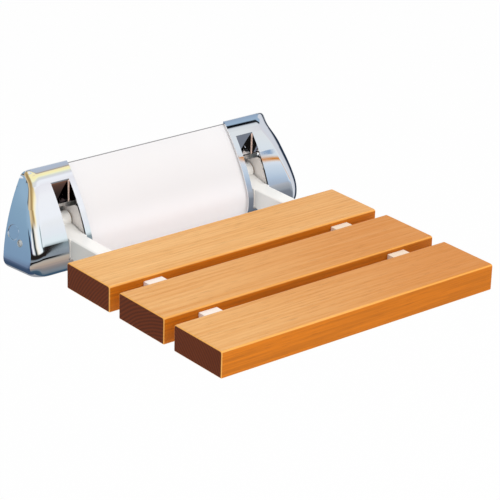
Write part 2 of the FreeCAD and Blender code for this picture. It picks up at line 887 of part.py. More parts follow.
def round_cap_edges(block, inset, low, top):
    # Rounds the edge between a block's front and its side, less towards the thin top.
    doc.recompute()
    feature = doc.addObject("Part::Fillet", block.Name + "_rounded")
    feature.Base = block
    numbers = edges_where(block.Shape, lambda point, edge: (
        point.x > d.seam_half.value + OVERRUN and edge.BoundBox.ZLength > 0.5 and on_front(point, inset)))
    rounds = []
    for number in numbers:
        edge = block.Shape.Edges[number - 1]
        ends = (edge.valueAt(edge.FirstParameter), edge.valueAt(edge.LastParameter))
        rounds.append((number, *[low.value if end.z < 0 else top.value for end in ends]))
    feature.Edges = rounds
    return feature


def round_slot(block):
    # Rounds the slot's lower corners and the corners at its back.
    doc.recompute()
    feature = doc.addObject("Part::Fillet", "slot")
    feature.Base = block
    corners = edges_where(block.Shape, lambda point, edge: (
        not near(point.x, ARM_X)
        and (near(point.y, -d.pocket_depth) or near(point.z, -d.slot_bottom_drop))
        and point.y > -d.housing_depth.value))
    feature.Edges = [(number, d.slot_corner_radius.value, d.slot_corner_radius.value) for number in corners]
    return feature


def make_end_cap():
    # Chromed shell with the arm's slot and pocket, a boss for its screw and one for the plug.
    outside = housing_block("cap_outer", size_of(0), d.seam_half, -d.wall_gap)
    outer = round_cap_edges(outside, size_of(0), d.cap_edge_round, d.cap_top_round)
    inside = housing_block("cap_inner", d.cap_wall, d.seam_half - OVERRUN, size_of(OVERRUN))
    inner = round_cap_edges(inside, d.cap_wall, d.cap_edge_round - d.cap_wall, d.cap_top_round / 3)
    shell = cut("cap_shell", outer, inner)

    # The pocket's walls hang from the top of the slot down to a sloping ledge.
    side = free_sketch("pocket_side", "YZ_Plane", SLOT_INNER - d.pocket_wall)
    back = d.pocket_depth - d.pocket_wall
    front = d.housing_depth + d.pocket_wall
    slope = d.pocket_ledge_slope
    draw_outline(side, [
        (-back, d.pocket_ledge_height),
        (-back, d.housing_top),
        (-front, d.housing_top),
        (-front, d.pocket_ledge_height + slope * (front - back)),
    ])
    walls = extrude("pocket_walls", side, d.slot_width + 2 * d.pocket_wall, (1, 0, 0))

    plug_start = side_at(d.plug_radius) - d.plug_thickness
    past = d.side_radius - d.housing_half_width
    plug_boss = rod(
        "plug_boss", "x", plug_start - d.cap_wall, PIVOT_Y, 0, past, d.plug_radius + d.plug_boss_wall)
    screw_boss = rod(
        "screw_boss", "x", TAB_FACE, -d.cap_screw_depth, -d.cap_screw_drop, past,
        d.cap_screw_radius + d.cap_boss_wall)
    additions = common("cap_inside", [fuse("cap_additions", [walls, plug_boss, screw_boss]), outer])
    body = fuse("cap_body", [shell, additions])

    slot = round_slot(box(
        "slot_block", SLOT_INNER, -d.housing_depth - OVERRUN, -d.slot_bottom_drop, d.slot_width,
        d.housing_depth + OVERRUN - d.pocket_depth, d.slot_bottom_drop + d.housing_top))
    head_start = side_at(-d.cap_screw_drop) - d.cap_screw_head_height - d.head_clearance
    cuts = [
        slot,
        rod("plug_hole", "x", plug_start, PIVOT_Y, 0, past, d.plug_radius + d.plug_clearance),
        rod("plug_stem_hole", "x", plug_start - d.cap_wall - OVERRUN, PIVOT_Y, 0, past,
            d.plug_stem_radius + d.plug_clearance),
        rod("cap_screw_hole", "x", TAB_FACE - OVERRUN, -d.cap_screw_depth, -d.cap_screw_drop,
            past, d.cap_screw_radius + d.screw_clearance),
        rod("cap_screw_sink", "x", head_start, -d.cap_screw_depth, -d.cap_screw_drop,
            past, d.cap_screw_head_radius + d.screw_clearance),
    ]
    cap = cut("right_end_cap", body, fuse("cap_cuts", cuts))
    cap.Label = "right_end_cap"
    return cap


def make_pivot_plug():
    # Round plug that closes the cap over the end of the pivot pin.
    start = side_at(d.plug_radius) - d.plug_thickness
    bevel = d.bend_round / 2
    steps = [
        (d.plug_stem_length, d.plug_stem_radius),
        (d.plug_thickness - bevel, d.plug_radius),
        (bevel, d.plug_radius, d.plug_radius - bevel),
    ]
    plug = turned("right_pivot_plug", "x", start - d.plug_stem_length, PIVOT_Y, size_of(0), steps)
    plug.Label = "right_pivot_plug"
    return plug


def make_end_cap_screw():
    # Screw through the cap's side into the plate's end tab.
    head_start = side_at(-d.cap_screw_drop) - d.cap_screw_head_height - d.head_clearance
    steps = [
        (d.cap_screw_length, d.cap_screw_radius),
        (d.cap_screw_head_height / 2, d.cap_screw_head_radius),
        (d.cap_screw_head_height / 2, d.cap_screw_head_radius, d.cap_screw_radius),
    ]
    start = head_start - d.cap_screw_length
    screw = turned("right_end_cap_screw", "x", start, -d.cap_screw_depth, -d.cap_screw_drop, steps)
    screw.Label = "right_end_cap_screw"
    return screw


def make_centre_cover():
    # White shell between the caps, tucked under their edges, hooked behind the plate's lips.
    body = new_body("centre_cover")
    outer = d.cover_inset
    inner = d.cover_inset + d.cover_wall
    back = -d.wall_gap
    section = new_sketch(body, "Section", "YZ_Plane")
    low = -(d.housing_bottom - outer)
    high = d.housing_top - outer
    low_in = -(d.housing_bottom - inner)
    outside = front_corners(outer, low, high) + [(back, high)]
    inside = front_corners_down(inner, low_in, back, inner) + [(back, low_in), (back, low)]
    draw_outline(section, outside + inside)
    pad(body, section, 2 * (d.seam_half + d.cover_lap), symmetric=True)
    return body


SLATS = ("rear", "middle", "front")


def build():
    single = [make_wall_plate(), make_centre_cover()]
    for index, name in enumerate(SLATS):
        single.append(make_slat(name + "_slat", index))
        single.append(make_slat_screws(name + "_slat_screws", index))
    handed = [
        make_hinge_bracket(), make_bracket_rivets(), make_pivot_pin(), make_pin_clip(),
        make_pivot_washers(), make_arm_bushes(), make_stop_pad(), make_arm(),
        make_end_cap(), make_pivot_plug(), make_end_cap_screw(),
    ]
    copies = [mirrored(piece, piece.Label.replace("right_", "left_")) for piece in handed]
    doc.recompute()
    return single + handed + copies


def check(pieces):
    for item in doc.Objects:
        if "Invalid" in item.State or "Error" in item.State:
            users = [user.Label for user in item.InList]
            raise ValueError("%s of %s is %s" % (item.Label, users, item.State))
    for piece in pieces:
        if piece.Shape.isNull() or not piece.Shape.isValid() or not piece.Shape.Solids:
            raise ValueError("%s has no valid solid" % piece.Label)


def write(pieces):
    os.makedirs("parts", exist_ok=True)
    for piece in pieces:
        piece.Shape.exportStep("parts/%s.step" % piece.Label)


sub_parts = build()
check(sub_parts)
write(sub_parts)
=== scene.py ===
import math

import bmesh
import bpy
from mathutils import Matrix, Vector


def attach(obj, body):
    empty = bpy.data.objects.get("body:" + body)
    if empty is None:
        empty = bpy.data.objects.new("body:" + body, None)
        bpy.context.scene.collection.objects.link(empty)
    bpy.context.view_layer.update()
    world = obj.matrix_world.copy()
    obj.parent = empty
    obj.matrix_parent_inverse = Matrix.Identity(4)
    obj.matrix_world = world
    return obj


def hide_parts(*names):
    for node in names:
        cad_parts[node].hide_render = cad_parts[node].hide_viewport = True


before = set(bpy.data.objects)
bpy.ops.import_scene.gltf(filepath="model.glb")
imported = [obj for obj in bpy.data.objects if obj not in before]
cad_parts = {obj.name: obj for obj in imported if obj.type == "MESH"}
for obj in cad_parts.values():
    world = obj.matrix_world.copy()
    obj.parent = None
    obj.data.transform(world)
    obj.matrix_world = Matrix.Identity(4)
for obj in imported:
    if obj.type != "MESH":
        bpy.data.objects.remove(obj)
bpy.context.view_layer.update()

# Fold down wall seat: wooden slats on white arms, hinged in a chrome ended wall housing.
# Sizes are written in millimetres and worked in metres.
mm = 0.001
scene = bpy.context.scene
scene.view_settings.view_transform = "Standard"


# Shader helpers

class Value:
    # One socket of a finish, so that sums and products can be written as Python.
    def __init__(self, finish, socket):
        self.finish = finish
        self.socket = socket

    def __add__(self, other):
        return self.finish.math("ADD", self, other)

    def __radd__(self, other):
        return self.finish.math("ADD", other, self)

    def __sub__(self, other):
        return self.finish.math("SUBTRACT", self, other)

    def __rsub__(self, other):
        return self.finish.math("SUBTRACT", other, self)

    def __mul__(self, other):
        return self.finish.math("MULTIPLY", self, other)

    def __rmul__(self, other):
        return self.finish.math("MULTIPLY", other, self)

    def __pow__(self, other):
        return self.finish.math("POWER", self, other)


class Finish:
    # A material or the world, built one node at a time.
    def __init__(self, name, owner=None):
        self.owner = owner or bpy.data.materials.new(name)
        self.owner.use_nodes = True
        self.tree = self.owner.node_tree
        self.tree.nodes.clear()

    def node(self, kind, settings=None, inputs=None, output=0):
        made = self.tree.nodes.new(kind)
        for key, value in (settings or {}).items():
            if key == "stops":
                self.setStops(made.color_ramp, value)
            else:
                setattr(made, key, value)
        for key, value in (inputs or {}).items():
            if isinstance(value, Value):
                self.tree.links.new(value.socket, made.inputs[key])
            else:
                made.inputs[key].default_value = value
        return Value(self, made.outputs[output]) if made.outputs else None

    def setStops(self, ramp, stops):
        while len(ramp.elements) < len(stops):
            ramp.elements.new(1.0)
        for element, (place, tone) in zip(ramp.elements, stops):
            element.position = place
            element.color = tone

    def math(self, operation, *values):
        return self.node("ShaderNodeMath", {"operation": operation}, dict(enumerate(values)))

    def place(self, scale=(1, 1, 1), shift=(0, 0, 0)):
        spot = self.node("ShaderNodeTexCoord", output="Object")
        return self.node("ShaderNodeMapping", {}, {"Vector": spot, "Scale": scale, "Location": shift})

    def parts(self, vector):
        split = self.tree.nodes.new("ShaderNodeSeparateXYZ")
        self.tree.links.new(vector.socket, split.inputs[0])
        return [Value(self, split.outputs[axis]) for axis in range(3)]

    def spot(self):
        return self.parts(self.node("ShaderNodeTexCoord", output="Object"))

    def facing(self):
        return self.parts(self.node("ShaderNodeTexCoord", output="Normal"))

    def ray(self, kind):
        rays = self.tree.nodes.new("ShaderNodeLightPath")
        return Value(self, rays.outputs[kind])

    def noise(self, where, scale, detail=2.0, roughness=0.5):
        return self.node("ShaderNodeTexNoise", {}, {
            "Vector": where, "Scale": scale, "Detail": detail, "Roughness": roughness})

    def spread(self, value, low, high, toLow=0.0, toHigh=1.0, smooth=True):
        kind = "SMOOTHSTEP" if smooth else "LINEAR"
        return self.node("ShaderNodeMapRange", {"interpolation_type": kind}, {
            "Value": value, "From Min": low, "From Max": high, "To Min": toLow, "To Max": toHigh})

    def within(self, value, start, full, ease, end):
        # 1 between full and ease, and 0 before start and after end.
        return self.spread(value, start, full) * self.spread(value, end, ease)

    def mix(self, amount, first, second):
        return self.node("ShaderNodeMix", {"data_type": "RGBA"}, {0: amount, 6: first, 7: second}, 2)

    def ramp(self, value, low, high, stops):
        # Screen colours, each at its own level between low and high.
        row = [((level - low) / (high - low), colour(*tone)) for level, tone in stops]
        share = self.spread(value, low, high, smooth=False)
        return self.node("ShaderNodeValToRGB", {"stops": row}, {0: share})

    def bump(self, height, distance, strength):
        return self.node("ShaderNodeBump", {}, {
            "Height": height, "Distance": distance, "Strength": strength})

    def finish(self, shader, kind="ShaderNodeOutputMaterial"):
        self.node(kind, {}, {"Surface": shader})
        return self.owner

    def surface(self, inputs):
        return self.finish(self.node("ShaderNodeBsdfPrincipled", {}, inputs))


def colour(red, green, blue, share=1.0):
    # A colour as it looks on screen, from 0 to 255, in the shader's linear values.
    linear = []
    for level in (red, green, blue):
        level = share * level / 255
        linear.append(level / 12.92 if level <= 0.04045 else ((level + 0.055) / 1.055) ** 2.4)
    return (*linear, 1.0)


# Camera, floor and lights

cameraView = {
    "place": (-1.23473, -1.66242, 0.83210),
    "aim": (-0.00809, -0.17407, 0.00134),
    "roll": 1.772,
    "lens": 162.445,
    "sensor": 36.0,
}


def turnTowards(place, aim):
    direction = Vector(aim) - Vector(place)
    return Matrix.Translation(place) @ direction.to_track_quat("-Z", "Y").to_matrix().to_4x4()


def makeCamera():
    view = cameraView
    lens = bpy.data.cameras.new("photoCamera")
    lens.lens = view["lens"]
    lens.sensor_width = view["sensor"]
    lens.clip_start = 0.05
    camera = bpy.data.objects.new("photoCamera", lens)
    scene.collection.objects.link(camera)
    roll = Matrix.Rotation(math.radians(view["roll"]), 4, "Z")
    camera.matrix_world = turnTowards(view["place"], view["aim"]) @ roll
    scene.camera = camera


studio = {
    "floorHeight": -0.62,
    "floorSize": 9.0,
    "floorTone": (0.85, 0.85, 0.85, 1.0),
    "floorShown": 0.95,
    "lampAim": (0, -0.15, 0),
    "lamps": {
        "keyLamp": {"place": (1.2, -1.4, 2.2), "power": 18.0, "size": 1.6},
        "fillLamp": {"place": (0.2, -2.6, 0.4), "power": 14.0, "size": 2.0},
    },
    "ambient": (0.92, 0.92, 0.92, 1.0),
    "white": (1.0, 1.0, 1.0, 1.0),
}


def makeFloor():
    # White to the camera but for the object's shadow. The chrome doesn't see it.
    floor = Finish("studioFloor")
    pale = floor.node("ShaderNodeBsdfDiffuse", {}, {"Color": studio["floorTone"]})
    white = floor.node("ShaderNodeEmission", {}, {"Color": studio["white"], "Strength": 1.0})
    shown = floor.ray("Is Camera Ray") * studio["floorShown"]
    paint = floor.finish(floor.node("ShaderNodeMixShader", {}, {0: shown, 1: pale, 2: white}))
    bm = bmesh.new()
    bmesh.ops.create_grid(bm, x_segments=1, y_segments=1, size=studio["floorSize"] / 2)
    bmesh.ops.translate(bm, verts=bm.verts, vec=(0, 0, studio["floorHeight"]))
    mesh = bpy.data.meshes.new("studioFloor")
    bm.to_mesh(mesh)
    bm.free()
    mesh.materials.append(paint)
    ground = bpy.data.objects.new("studioFloor", mesh)
    scene.collection.objects.link(ground)
    ground.visible_glossy = False


def makeLamp(name, lamp):
    light = bpy.data.lights.new(name, "AREA")
    light.energy = lamp["power"]
    light.size = lamp["size"]
    holder = bpy.data.objects.new(name, light)
    scene.collection.objects.link(holder)
    holder.matrix_world = turnTowards(lamp["place"], studio["lampAim"])
    holder.visible_glossy = False


# The room that the chrome mirrors, as rows of screen colours. Z is the sine of the height,
# and around is in degrees from straight ahead of the wall, to the right.
room = {
    "leftRise": (-1.0, 1.0, [  # over z
        (-1.00, (54, 76, 97)), (-0.88, (70, 94, 112)), (-0.85, (122, 131, 140)), (-0.79, (130, 128, 130)),
        (-0.70, (156, 144, 138)), (-0.60, (177, 160, 146)), (-0.46, (184, 174, 162)), (-0.40, (128, 132, 134)),
        (-0.30, (134, 143, 152)), (-0.10, (144, 155, 163)), (0.16, (130, 146, 152)), (0.22, (150, 164, 168)),
        (0.26, (226, 238, 242)), (0.34, (232, 237, 243)), (0.42, (236, 239, 242)), (0.47, (242, 245, 250)),
        (0.62, (242, 244, 248)), (0.68, (234, 234, 240)), (1.00, (226, 222, 224)),
    ]),
    "rightRise": (-1.0, 1.0, [  # over z that slopes with x
        (-1.00, (54, 76, 97)), (-0.60, (112, 118, 128)), (-0.22, (122, 128, 138)), (-0.10, (148, 155, 164)),
        (0.02, (158, 163, 170)), (0.16, (172, 177, 186)), (0.24, (166, 180, 198)), (0.29, (176, 194, 214)),
        (0.34, (192, 208, 224)), (0.40, (206, 219, 232)), (0.43, (220, 228, 238)), (0.443, (228, 200, 170)),
        (0.450, (204, 124, 30)), (0.462, (206, 128, 36)), (0.470, (214, 196, 176)), (0.485, (216, 224, 232)),
        (0.56, (220, 228, 234)), (0.64, (224, 228, 230)), (0.68, (214, 214, 220)), (1.00, (210, 214, 222)),
    ]),
    "leftCrest": (48.0, 58.0, [
        (50.6, (240, 243, 249)), (51.4, (216, 218, 222)), (52.0, (222, 226, 212)), (52.35, (247, 245, 206)),
        (52.9, (252, 242, 180)), (53.4, (250, 240, 196)), (53.7, (166, 148, 132)), (54.1, (178, 186, 200)),
        (55.5, (178, 190, 208)), (57.0, (146, 162, 186)),
    ]),
    "rightCrest": (80.0, 120.0, [
        (93.5, (218, 223, 226)), (94.7, (206, 212, 220)), (95.5, (6, 12, 18)), (97.0, (6, 12, 18)),
        (97.7, (158, 182, 206)), (101.5, (148, 168, 192)), (112.0, (120, 132, 150)),
    ]),
    "highTurn": (-140.0, 60.0, [
        (-116, (140, 168, 190)), (-106, (92, 100, 104)), (-88, (96, 94, 90)), (-72, (182, 170, 152)),
        (-62, (224, 206, 172)), (-48, (218, 194, 150)), (-36, (186, 162, 122)), (-27, (158, 132, 84)),
        (-20, (204, 176, 122)), (-13, (255, 240, 190)), (-5, (250, 246, 232)), (3, (236, 240, 246)),
    ]),
    "lowTurn": (-140.0, 60.0, [
        (-115, (132, 164, 184)), (-103, (88, 114, 132)), (-94, (44, 56, 78)), (-86, (14, 18, 44)),
        (-79, (120, 122, 146)), (-73, (230, 232, 242)), (-62, (252, 254, 255)), (-54, (190, 198, 202)),
        (-47, (44, 54, 60)), (-38, (36, 46, 50)), (-31, (196, 192, 176)), (-22, (252, 248, 240)),
        (12, (240, 250, 255)), (19, (226, 240, 244)), (24, (84, 104, 112)), (29, (236, 246, 250)),
    ]),
    "side": (-0.6, 0.6, [  # over z
        (-0.60, (60, 78, 104)), (-0.37, (104, 121, 149)), (-0.29, (124, 152, 181)), (0.05, (133, 164, 189)),
        (0.45, (146, 176, 200)),
    ]),
    "wedge": (34, 30, 28),
    "thread": (20, 18, 16),
    "patch": (124, 154, 188),
    "rim": (34, 48, 68),
    "lowRim": (58, 84, 106),
    "wallLow": (150, 154, 160),
    "wallHigh": (228, 230, 232),
    "leftAcross": 0.5137,  # x that the middle of the left cap's front mirrors
    "rightAcross": 0.5966,
    "archCentre": -25.0,  # rows of the caps' front corner mirror arches about this direction
    "archBend": 0.000058,
}


def roomLeft(sky, x, z):
    # What the left cap's front mirrors, with a black wedge and a thin black line.
    across = x - room["leftAcross"]
    bands = sky.ramp(z, *room["leftRise"])
    wedge = sky.spread(z - sky.math("MAXIMUM", across, -0.003) * 58.0, -0.11, -0.02)
    wedge = wedge * sky.spread(z, 0.25, 0.21)
    bands = sky.mix(wedge, bands, colour(*room["wedge"]))
    thread = sky.within(z, -0.42, -0.39, -0.34, -0.31) * sky.spread(across, 0.004, 0.001)
    return sky.mix(thread, bands, colour(*room["thread"]))


def roomRight(sky, x, z):
    # What the right cap's front mirrors, with a blue patch.
    level = z + (x - room["rightAcross"]) * 5.9
    bands = sky.ramp(level, *room["rightRise"])
    patch = sky.within(level, 0.487, 0.495, 0.512, 0.522) * sky.within(x, 0.5978, 0.5986, 0.6010, 0.6018)
    return sky.mix(patch, bands, colour(*room["patch"]))


def roomTurn(sky, around, z):
    # Upright bands that the caps' front corners mirror.
    arch = z + (around - room["archCentre"]) ** 2.0 * room["archBend"]
    high = sky.ramp(around - sky.spread(arch, 0.70, 1.10, 0.0, 76.0, smooth=False), *room["highTurn"])
    low = sky.ramp(around + arch * 35.0 - 15.0, *room["lowTurn"])
    return sky.mix(sky.spread(arch, 0.57, 0.66), low, high)


def makeRoom(sky, x, y, z):
    # The caps' fronts mirror what is ahead of the wall, their sides a plain blue, their backs a grey wall.
    around = sky.math("ARCTAN2", x, y * -1.0) * (180 / math.pi)
    onRight = sky.spread(x, 0.545, 0.57)
    crest = around * 0.2 + z * 58.0
    rightCrest = sky.ramp(around + z * 58.0, *room["rightCrest"])
    crown = sky.mix(onRight, sky.ramp(crest, *room["leftCrest"]), rightCrest)
    rise = sky.mix(onRight, roomLeft(sky, x, z), roomRight(sky, x, z))
    rise = sky.mix(sky.spread(crest, 49.3, 49.9), rise, crown)
    ahead = sky.mix(sky.spread(around, 23.0, 31.0), roomTurn(sky, around, z), rise)
    ahead = sky.mix(sky.spread(z, -0.04, 0.06), rise, ahead)
    rim = sky.spread(around, 72.0, 84.0) * sky.spread(z, -0.72, -0.62)
    ahead = sky.mix(rim, ahead, colour(*room["rim"]))
    lowRim = sky.spread(around, 88.0, 98.0) * sky.spread(z, -0.62, -0.72)
    ahead = sky.mix(lowRim, ahead, colour(*room["lowRim"]))
    wall = sky.mix(sky.spread(z, -0.5, 0.5), colour(*room["wallLow"]), colour(*room["wallHigh"]))
    ahead = sky.mix(sky.spread(around, 112.0, 124.0), ahead, wall)
    turned = around + sky.spread(z, -0.12, 0.08) * 12.0 - sky.spread(z, 0.12, 0.45) * 14.0
    above = sky.spread(around, -60.0, -66.0) * sky.within(z, 0.43, 0.47, 0.56, 0.60)
    below = sky.spread(around, -69.0, -74.0) * sky.within(z, 0.25, 0.30, 0.46, 0.50)
    shown = sky.spread(turned, -95.0, -90.0) * (1 - above) * (1 - below)
    panorama = sky.mix(shown, sky.ramp(z, *room["side"]), ahead)
    return sky.mix(sky.spread(y, 0.76, 0.88), panorama, wall)


def makeWorld():
    # White to the camera, soft grey as light, and the room for the chrome.
    scene.world = bpy.data.worlds.new("studio")
    sky = Finish("studio", scene.world)
    x, y, z = sky.parts(sky.node("ShaderNodeTexCoord", output="Generated"))
    light = sky.mix(sky.ray("Is Glossy Ray"), studio["ambient"], makeRoom(sky, x, y, z))
    shown = sky.mix(sky.ray("Is Camera Ray"), light, studio["white"])
    backdrop = sky.node("ShaderNodeBackground", {}, {"Color": shown, "Strength": 1.0})
    sky.finish(backdrop, "ShaderNodeOutputWorld")


makeCamera()
makeFloor()
makeWorld()
for name, lamp in studio["lamps"].items():
    makeLamp(name, lamp)
print("camera, floor and lights are set")


# Finishes

# The housing's outline. Its front is a round nose below and a wide arc above.
housing = {
    "noseCentre": (-10.8 * mm, -19.3 * mm),  # y and z
    "noseRadius": 33.7 * mm,
    "frontCentre": (130.411 * mm, -76.353 * mm),  # y and z
    "frontRadius": 186.0 * mm,
    "lean": 22.0,  # degrees above level, where the nose meets the arc
    "top": 54.8 * mm,
    "bottom": -41.2 * mm,
    "back": -0.3 * mm,
    "sideCentre": (-45.7 * mm, -41.2 * mm),  # x and z
    "sideRadius": 214.0 * mm,
    "topCorner": 9.0 * mm,
    "lowCorner": 13.0 * mm,
}


wood = {
    "light": (241, 191, 126),
    "dark": (220, 153, 80),
    "deep": (204, 122, 42),
    # Faces along Y: a deeper orange for their side grain, darkened further as painted shade
    "side": (210, 117, 12),
    # Painted highlight colour for the rounded long edges
    "edge": (246, 176, 78),
    "endGrain": (118, 52, 14),
    "pore": (120, 62, 26),
    "ringSpacing": 3.4 * mm,
    "ringWander": 26 * mm,
    "pith": (-210 * mm, -88 * mm),  # y and z
    "bendScale": (1.6, 7, 7),
    "streakScale": (9, 420, 420),
    "poreScale": (55, 1900, 1900),
    "patchScale": (5, 11, 11),
    "halfLength": 160 * mm,
    "gloss": 0.19,
}


# Where each board is cut from, how deep its colour is at the left end and how much that grows.
boards = {
    "rear": {"shift": (0.31, 0.02, 0.0), "depth": 0.0, "change": 0.22},
    "middle": {"shift": (1.87, 0.045, 0.01), "depth": 0.18, "change": 0.5},
    "front": {"shift": (3.43, -0.03, 0.015), "depth": 0.14, "change": 0.62},
}


def makeWood(name, board):
    # Oiled hardwood: growth rings round a pith below the board, streaks and pores along it.
    shift = board["shift"]
    look = Finish(name)
    y, z = look.parts(look.place(shift=shift))[1:]
    bend = look.noise(look.place(wood["bendScale"], shift), 1.0, 3.0)
    across = (y - wood["pith"][0]) ** 2.0 + (z - wood["pith"][1]) ** 2.0
    radius = across ** 0.5 + (bend - 0.5) * wood["ringWander"]
    figure = look.spread(look.math("SINE", radius * (2 * math.pi / wood["ringSpacing"])), -1.0, 1.0)
    streak = look.noise(look.place(wood["streakScale"], shift), 1.0, 4.0, 0.6)
    pore = look.spread(look.noise(look.place(wood["poreScale"], shift), 1.0, 1.0), 0.60, 0.72)
    patch = look.noise(look.place(wood["patchScale"], shift), 1.0)
    fine = look.spread(streak, 0.32, 0.68)
    ripe = look.spread(look.spot()[0], -wood["halfLength"], wood["halfLength"])
    ripe = ripe * board["change"] + board["depth"]
    grain = fine * 0.5 + figure * 0.2 + patch * 0.4 - 0.1
    tone = look.mix(grain, colour(*wood["light"]), colour(*wood["dark"]))
    tone = look.mix(ripe, tone, colour(*wood["deep"]))
    nx, ny = [look.math("ABSOLUTE", part) for part in look.facing()[:2]]
    # Faces along Y turn deeper and darker: partly their side grain, partly painted shade
    sideGrainAndShade = look.mix(fine, colour(*wood["side"]), colour(*wood["side"], 0.88))
    sideGrainAndShade = look.mix(ripe * 0.4, sideGrainAndShade, colour(*wood["side"], 0.84))
    tone = look.mix(look.spread(ny, 0.80, 0.99), tone, sideGrainAndShade)
    rings = figure * 0.5 + patch * 0.3
    endTone = look.mix(rings, colour(*wood["endGrain"]), colour(*wood["endGrain"], 0.66))
    tone = look.mix(look.spread(nx, 0.86, 0.97), tone, endTone)
    tone = look.mix(pore * 0.30, tone, colour(*wood["pore"]))
    # Painted highlight: the rounded edges between top, sides and ends are lightened
    edgeHighlight = look.spread(nx * nx + ny * ny * 0.7, 0.04, 0.4)
    edgeHighlight = edgeHighlight * (1 - look.spread(nx, 0.8, 0.95)) * (1 - look.spread(ny, 0.75, 0.97))
    tone = look.mix(edgeHighlight * 0.8, tone, colour(*wood["edge"]))
    rough = look.spread(streak, 0.0, 1.0, 0.42, 0.56) + pore * 0.1
    lift = look.bump(streak * 0.6 + pore * -0.8, 0.05 * mm, 0.35)
    return look.surface({
        "Base Color": tone, "Roughness": rough, "Normal": lift, "Specular IOR Level": wood["gloss"]})


chrome = {
    "light": (253, 253, 254),
    "dark": (246, 247, 249),
    # Painted shade on the left pocket's walls, warming up to a painted reflection of the wood, and a painted
    # black shadow at the ledge
    "leftPocketShade": [(20 * mm, (64, 60, 64)), (30 * mm, (112, 88, 80)),
                   (38 * mm, (168, 122, 104)), (41 * mm, (244, 170, 136))],
    "rightPocket": (250, 250, 254),
    "ledge": (26, 22, 22),
    # Painted highlight in the fold at the back of each pocket
    "fold": (238, 216, 204),
}


def makeChrome():
    # Bright chrome. The left cap's pocket walls get painted shade, warming to a painted reflection of the wood
    # near the top; both pockets get a painted black shadow at the ledge and a pale painted highlight in the
    # fold at the back.
    look = Finish("capChrome")
    place = look.place()
    smudge = look.noise(place, 26.0, 4.0, 0.6)
    lift = look.bump(look.noise(place, 14.0, 1.0), 0.9 * mm, 0.10)
    tint = look.mix(smudge, colour(*chrome["light"]), colour(*chrome["dark"]))
    x, y, z = look.spot()
    centreY, centreZ = housing["frontCentre"]
    front = centreY - (housing["frontRadius"] ** 2 - (z - centreZ) ** 2.0) ** 0.5
    across = look.math("ABSOLUTE", x)
    inside = look.within(across, 100.9 * mm, 101.2 * mm, 122.4 * mm, 122.7 * mm)
    inside = inside * look.spread(y - front, 0.7 * mm, 1.4 * mm) * look.spread(z, 16.0 * mm, 17.0 * mm)
    inside = inside * look.spread(y, -1.0 * mm, -3.0 * mm)
    # Painted shade on the pocket walls, warming upward to a painted reflection of the wood, then a painted
    # black shadow at the ledge
    pocketShade = look.ramp(z, 18 * mm, 42 * mm, chrome["leftPocketShade"])
    pocketShade = look.mix(look.spread(x, 0.0, 1 * mm), pocketShade, colour(*chrome["rightPocket"]))
    pocketShade = look.mix(look.spread(z, 19.6 * mm, 19.0 * mm), pocketShade, colour(*chrome["ledge"]))
    tint = look.mix(inside, tint, pocketShade)
    # Painted highlight: a pale, non-metal line in the fold at the back of each pocket
    fold = look.spread(across, 102.6 * mm, 102.3 * mm) + look.spread(across, 121.0 * mm, 121.3 * mm)
    fold = fold * inside * look.spread(y, -14.4 * mm, -14.1 * mm)
    tint = look.mix(fold, tint, colour(*chrome["fold"]))
    rough = look.spread(smudge, 0.35, 0.8, 0.015, 0.05)
    return look.surface({"Base Color": tint, "Metallic": 1 - fold, "Roughness": rough, "Normal": lift})


def makeMoulded(name, tone, shade, rough, grain=1800.0):
    # Moulded plastic or rubber with a fine skin and a faint change of tone.
    look = Finish(name)
    place = look.place()
    cloud = look.noise(place, 18.0, 3.0)
    tint = look.mix(cloud, colour(*tone), colour(*shade))
    lift = look.bump(look.noise(place, grain), 0.02 * mm, 0.5)
    roughness = look.spread(cloud, 0.2, 0.8, rough - 0.04, rough + 0.05)
    return look.surface({"Base Color": tint, "Roughness": roughness, "Normal": lift})


coverWhite = {
    "light": (232, 231, 232),
    "dark": (227, 227, 229),
    # Painted light: a brighter tone toward the bottom
    "low": (244, 243, 245),
    # Painted shade: a grey line along the top edge
    "edge": (128, 128, 130),
}


def makeCoverWhite():
    # White moulding with a fine skin, with painted light brightening it below and a painted grey shade line
    # along its thin top edge.
    look = Finish("coverWhite")
    place = look.place()
    cloud = look.noise(place, 18.0, 3.0)
    height = look.spot()[2]
    tint = look.mix(cloud, colour(*coverWhite["light"]), colour(*coverWhite["dark"]))
    # Painted light: the lower part is brightened
    tint = look.mix(look.spread(height, 14 * mm, -14 * mm), tint, colour(*coverWhite["low"]))
    # Painted shade: a thin grey line along the top edge
    tint = look.mix(look.spread(height, 51.5 * mm, 51.8 * mm), tint, colour(*coverWhite["edge"]))
    lift = look.bump(look.noise(place, 1800.0), 0.02 * mm, 0.5)
    rough = look.spread(cloud, 0.2, 0.8, 0.30, 0.40)
    return look.surface({"Base Color": tint, "Roughness": rough, "Normal": lift})


armWhite = {
    "light": (254, 253, 250),
    "dark": (250, 248, 243),
    # Painted shade on the flanks, deeper on the left arm
    "leftFlankShade": (218, 220, 217),
    "rightFlankShade": (234, 236, 234),
    # Painted warm light bounced from the wood onto the teeth between the slats
    "leftToothBounce": (252, 241, 230),
    "rightToothBounce": (244, 222, 196),
}


